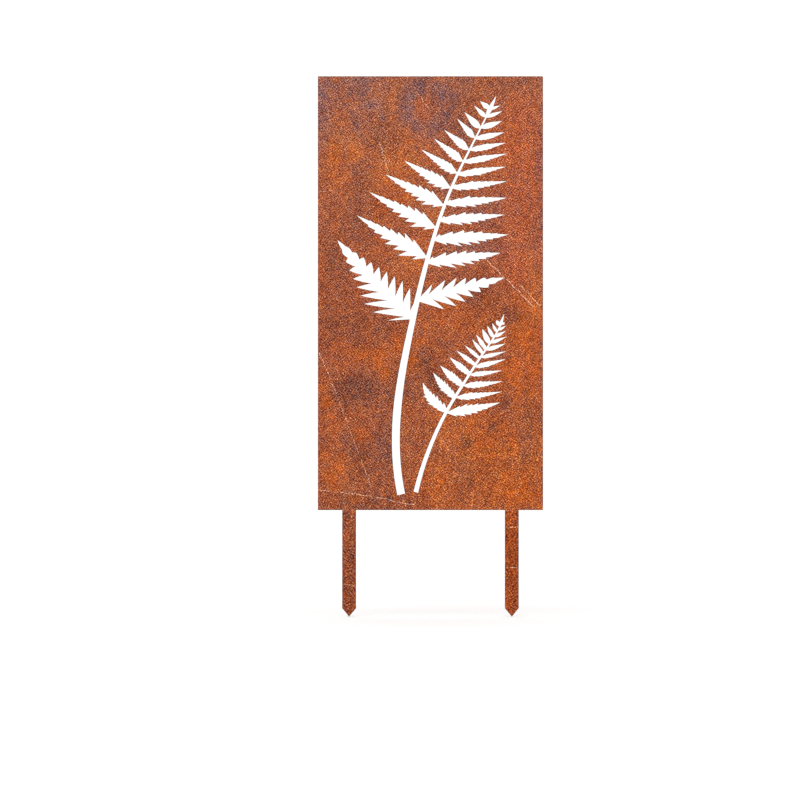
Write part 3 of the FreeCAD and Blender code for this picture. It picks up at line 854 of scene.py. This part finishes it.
def rusted_steel(name, ground, grain_size):
    """Rust on bare steel, summed as screen colours on a ground. Two clouds of many sizes, drawn out
    downwards, shift it along the two ways in which rust varies, warm and pale, and two finer ones
    mottle it. Stains that the mesh carries are broken up by one more cloud. Grains of the given size
    in mm, on places loosened by noise so that they have no straight sides, make it lighter and
    darker. Flecks, pits, scratches, weld heat with painted shade in the weld ripple valleys, drag
    lines on cut walls and painted shade along the cut edges come last. Grains and clouds also drive
    roughness and bump."""
    f = Finish(name)
    side = f.carried("side")
    scorch_and_shade = f.carried("scorch_and_shade")
    shift = {axis: side * length for axis, length in zip("XYZ", SIDE_SHIFT)}
    away = f.node("ShaderNodeCombineXYZ", None, shift)
    metres = f.node("ShaderNodeTexCoord", output="Object")
    place = f.vectors("MULTIPLY_ADD", metres, (1 / MM,) * 3, away)
    drawn = f.vectors("MULTIPLY", place, DRAWN_DOWN)
    breaking = f.noise(place, *BREAKING_CLOUD)
    loosening = {"Vector": place, "Scale": LOOSENING_RATE, "Detail": LOOSENING_DETAIL}
    loosening = f.node("ShaderNodeTexNoise", None, loosening, "Color")
    loose = f.vectors("MULTIPLY_ADD", loosening, (LOOSENING,) * 3, place)
    fine = f.grains(loose, FINE_GRAIN)
    coarse = f.grains(loose, COARSE_GRAIN)
    # clouds and stains
    colour = tuple(np.array(ground) / FULL)
    colour = f.tinted(colour, WARM, f.noise(drawn, *WARM_CLOUD) * WARM_SHARE)
    colour = f.tinted(colour, PALE, f.noise(drawn, *PALE_CLOUD) * PALE_SHARE)
    colour = f.tinted(colour, MOTTLE, f.noise(place, *MOTTLE_CLOUD))
    colour = f.tinted(colour, TINGE, f.noise(place, *TINGE_CLOUD))
    for stain, tint in STAIN_TINTS.items():
        colour = f.tinted(colour, tint, f.carried(stain) * (1.0 + breaking * STAIN_BREAKING))
    # grains
    grainy = 1.0 - scorch_and_shade * SCORCH_HIDES_SHARE
    speckle = f.speckle(loose, grain_size, grain_size * GRAIN_REACH_SHARE)
    grain = speckle * (GRAIN_STRENGTH / grain_size) + (fine[0] - 0.5) * FINE_STRENGTH
    colour = f.tinted(colour, GRAIN, grain * grainy)
    fleck = f.ease(fine[1] + f.carried("fleck") * FLECK_MORE, *FLECK_RANGE)
    colour = f.tinted(colour, FLECK, fleck * grainy)
    pit = f.ease(fine[2], *PIT_RANGE)
    colour = f.tinted(colour, PIT, pit * grainy)
    # marks of work and wear, with painted shade in the weld ripple valleys and along the cut edges
    score = f.ease(f.carried("score") * (SCORE_BASE + fine[0] * SCORE_GRAIN), *SCORE_RANGE)
    colour = f.tinted(colour, SCORE, score)
    # weld heat tint, with painted shade in the weld beads' ripple valleys
    colour = f.tinted(colour, SCORCH_AND_SHADE_TINT, scorch_and_shade)
    along = {"W": f.carried("run"), "Scale": DRAG_RATE}
    drag = f.node("ShaderNodeTexNoise", {"noise_dimensions": "1D"}, along)
    wall = f.ease(side, *WALL_RANGE)
    colour = f.tinted(colour, DRAG, wall * (drag * DRAG_GAIN - DRAG_LESS))
    # painted shade along the cut edges
    colour = f.tinted(colour, PAINTED_EDGE_SHADE, f.carried("rim"))
    # bump and gloss
    height = coarse[0] * BUMP_GRAIN + breaking * BUMP_CLOUD - pit * BUMP_PIT + wall * drag * BUMP_DRAG
    raised = {"Strength": BUMP_STRENGTH, "Distance": BUMP_METRES, "Height": height}
    bump = f.node("ShaderNodeBump", None, raised)
    rough = ROUGHNESS + (breaking - score - scorch_and_shade) * ROUGHNESS_VARIES
    surface = {"Base Color": f.shown(colour), "Roughness": rough, "Normal": bump}
    surface["Specular IOR Level"] = SPECULAR
    skin = f.node("ShaderNodeBsdfPrincipled", None, surface)
    f.node("ShaderNodeOutputMaterial", None, {"Surface": skin})
    return f.material


# The screen's pieces
def weld_gap(stake):
    """The box round a stake's root gap, up to the panel's lower edge at 0 and a little larger: x from
    and to, z from and to."""
    low, high = box_in_mm(stake)
    return low[0] - ROOT_MARGIN, high[0] + ROOT_MARGIN, high[2] - ROOT_MARGIN, ROOT_MARGIN


gaps = [weld_gap("left_stake"), weld_gap("right_stake")]
sheet_rust = rusted_steel("rust_on_sheet", GROUND, SHEET_GRAIN)
stake_rust = rusted_steel("rust_on_stakes", STAKE_GROUND, STAKE_GRAIN)
weld_rust = rusted_steel("rust_on_welds", GROUND, SHEET_GRAIN)
pieces = (
    (rusted_plate("rusted_fern_sheet", "fern_panel", gaps), "fern_panel", "rusted_sheet", sheet_rust),
    (rusted_plate("rusted_left_stake", "left_stake", gaps), "left_stake", "rusted_stake", stake_rust),
    (rusted_plate("rusted_right_stake", "right_stake", gaps), "right_stake", "rusted_stake", stake_rust),
    (root_weld("left_weld_bead", "left_stake"), "left_root_weld", "weld_metal", weld_rust),
    (root_weld("right_weld_bead", "right_stake"), "right_root_weld", "weld_metal", weld_rust),
)
for piece, node, slot, finish in pieces:
    piece.data.materials.append(finish)
    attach(piece, "root")
    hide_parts(node)

# Floor: a wide disc at the height of the stakes' points
turn = np.linspace(0, 2 * np.pi, FLOOR_SIDES, endpoint=False)
disc = np.empty((FLOOR_SIDES, 3))
disc[:, 0] = np.cos(turn) * FLOOR_RADIUS_MM
disc[:, 1] = np.sin(turn) * FLOOR_RADIUS_MM
disc[:, 2] = cad_box[0].z / MM
floor = mesh_of("floor", disc, [np.arange(FLOOR_SIDES)[None, :]])
floor_finish = Finish("pale_floor")
matt = floor_finish.node("ShaderNodeBsdfDiffuse", None, {"Color": (1.0, 1.0, 1.0, 1.0)})
floor_finish.node("ShaderNodeOutputMaterial", None, {"Surface": matt})
floor.data.materials.append(floor_finish.material)

# Light
world = bpy.data.worlds.new("white_room")
world.use_nodes = True
world.node_tree.nodes["Background"].inputs["Color"].default_value = (1, 1, 1, 1)
world.node_tree.nodes["Background"].inputs["Strength"].default_value = ROOM_STRENGTH
bpy.context.scene.world = world
bpy.context.scene.view_settings.view_transform = "Standard"

key = bpy.data.lights.new("soft_key", "AREA")
key.energy = KEY_WATTS
key.size = KEY_SIZE
key_lamp = bpy.data.objects.new("soft_key", key)
key_lamp.location = KEY_PLACE
key_lamp.rotation_euler = (Vector(KEY_AIM) - key_lamp.location).to_track_quat("-Z", "Y").to_euler()
bpy.context.scene.collection.objects.link(key_lamp)

# Camera: straight on, as far off as its lens needs for the picture's width
camera = bpy.data.objects.new("camera", bpy.data.cameras.new("camera"))
camera.data.lens = LENS_MM
camera.data.sensor_width = SENSOR_MM
distance = PICTURE_SIDE * PICTURE_POINT_MM * MM * LENS_MM / SENSOR_MM
camera.location = (PICTURE_MIDDLE_X_MM * MM, cad_box[0].y - distance, PICTURE_MIDDLE_Z_MM * MM)
camera.rotation_euler = (np.pi / 2, 0, 0)
camera.data.clip_end = SIGHT_END
bpy.context.scene.collection.objects.link(camera)
bpy.context.scene.camera = camera
